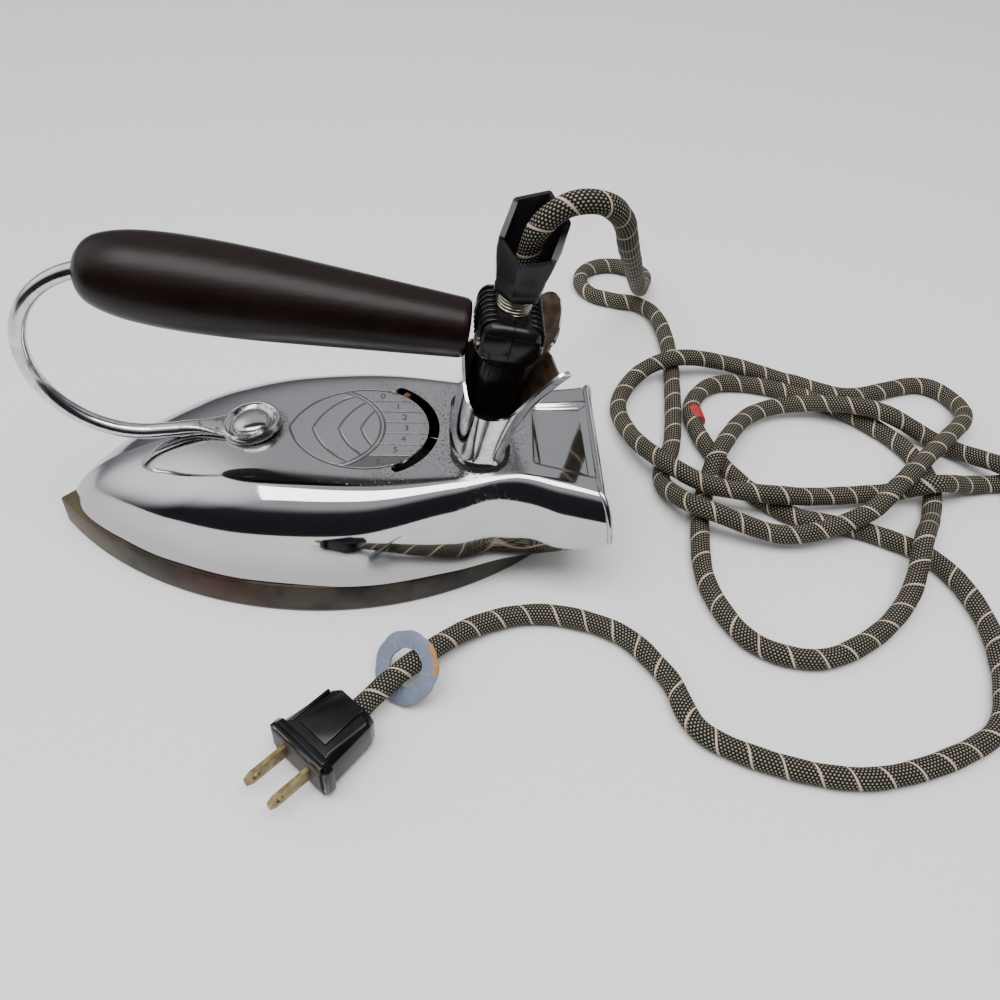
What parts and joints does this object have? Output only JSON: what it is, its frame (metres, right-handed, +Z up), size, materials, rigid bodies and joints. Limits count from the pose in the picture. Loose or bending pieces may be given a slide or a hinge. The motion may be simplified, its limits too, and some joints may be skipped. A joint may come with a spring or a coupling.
{
  "type": "clothes iron",
  "caption": "Household clothes iron with a cast sole, chromed shell, curved heat indicator, cantilevered wooden handle and a pull-off appliance plug on a braided cord.",
  "frame": {"origin": "on the soleplate's flat face, on the centre line under the widest section", "axes": "+Z up from the face that irons, -X towards the nose, +X towards the heel and the cord; -Y is the side on which the plug lies"},
  "size_m": [0.4922, 0.3595, 0.1632],
  "materials": {
    "sole_metal": "aged, semi-polished",
    "mica": "flaky mineral sheet",
    "element_alloy": "flat resistance ribbon",
    "plate_iron": "rough casting",
    "plain_steel": "plain",
    "shell_chrome": "worn, fine scratches",
    "heel_tin": "dull plated sheet",
    "rod_chrome": "worn, spots of rust",
    "grip_wood": "dark paint, satin gloss",
    "guard_chrome": "worn, brown inside",
    "gasket_fibre": "dark pressed fibre",
    "ceramic": "unglazed ceramic",
    "terminal_metal": "plated",
    "old_brass": "tarnished",
    "bimetal": "two-layer strip",
    "pointer_metal": "dark, heat-stained",
    "black_phenolic": "moulded, semi-gloss",
    "spring_metal": "nickel over brass",
    "hood_rubber": "greyish black",
    "braid": "black cotton braid with cream flecks",
    "red_tape": "cloth tape",
    "disc_fibre": "slit insulating fibre",
    "plate_fibre": "vulcanised fibre",
    "blade_brass": "dark tarnish"
  },
  "bodies": {
    "iron": {"soleplate": "sole_metal", "mica_lower": "mica", "heating_ribbon": "element_alloy", "mica_upper": "mica", "pressure_plate": "plate_iron", "clamp_studs": "plain_steel", "clamp_nuts": "plain_steel", "shell": "shell_chrome", "heel_plate": "heel_tin", "handle_rod": "rod_chrome", "handle_screw": "rod_chrome", "handle_post": "plain_steel", "handle_grip": "grip_wood", "handle_washer": "plain_steel", "handle_nut": "plain_steel", "socket_guard": "guard_chrome", "guard_gasket": "gasket_fibre", "terminal_block": "ceramic", "terminal_pins": "terminal_metal", "terminal_nuts": "old_brass", "terminal_straps": "old_brass", "indicator_bracket": "plain_steel", "bimetal_coil": "bimetal", "cord": "braid", "cord_tape": "red_tape", "fibre_disc": "disc_fibre", "plug_body": "black_phenolic", "plug_plate": "plate_fibre", "plug_blades": "blade_brass", "plug_screws": "old_brass"},
    "indicator": {"indicator_shaft": "plain_steel", "indicator_pointer": "pointer_metal"},
    "connector": {"connector_front": "black_phenolic", "connector_rear": "black_phenolic", "connector_sleeves": "old_brass", "connector_screws": "plain_steel", "connector_spring": "spring_metal", "cord_hood": "hood_rubber"}
  },
  "joints": [
    {"name": "heat_indicator", "type": "hinge", "parent": "iron", "child": "indicator", "pos_m": [0.0285, 0, 0.05], "axis": [0, 0, 1], "range_deg": [-112, 0], "stiffness_Nm_per_rad": 0.0005},
    {"name": "connector_pull", "type": "slide", "parent": "iron", "child": "connector", "axis": [0.1736, 0, 0.9848], "range_m": [0, 0.03], "deforming": ["cord"]}
  ]
}
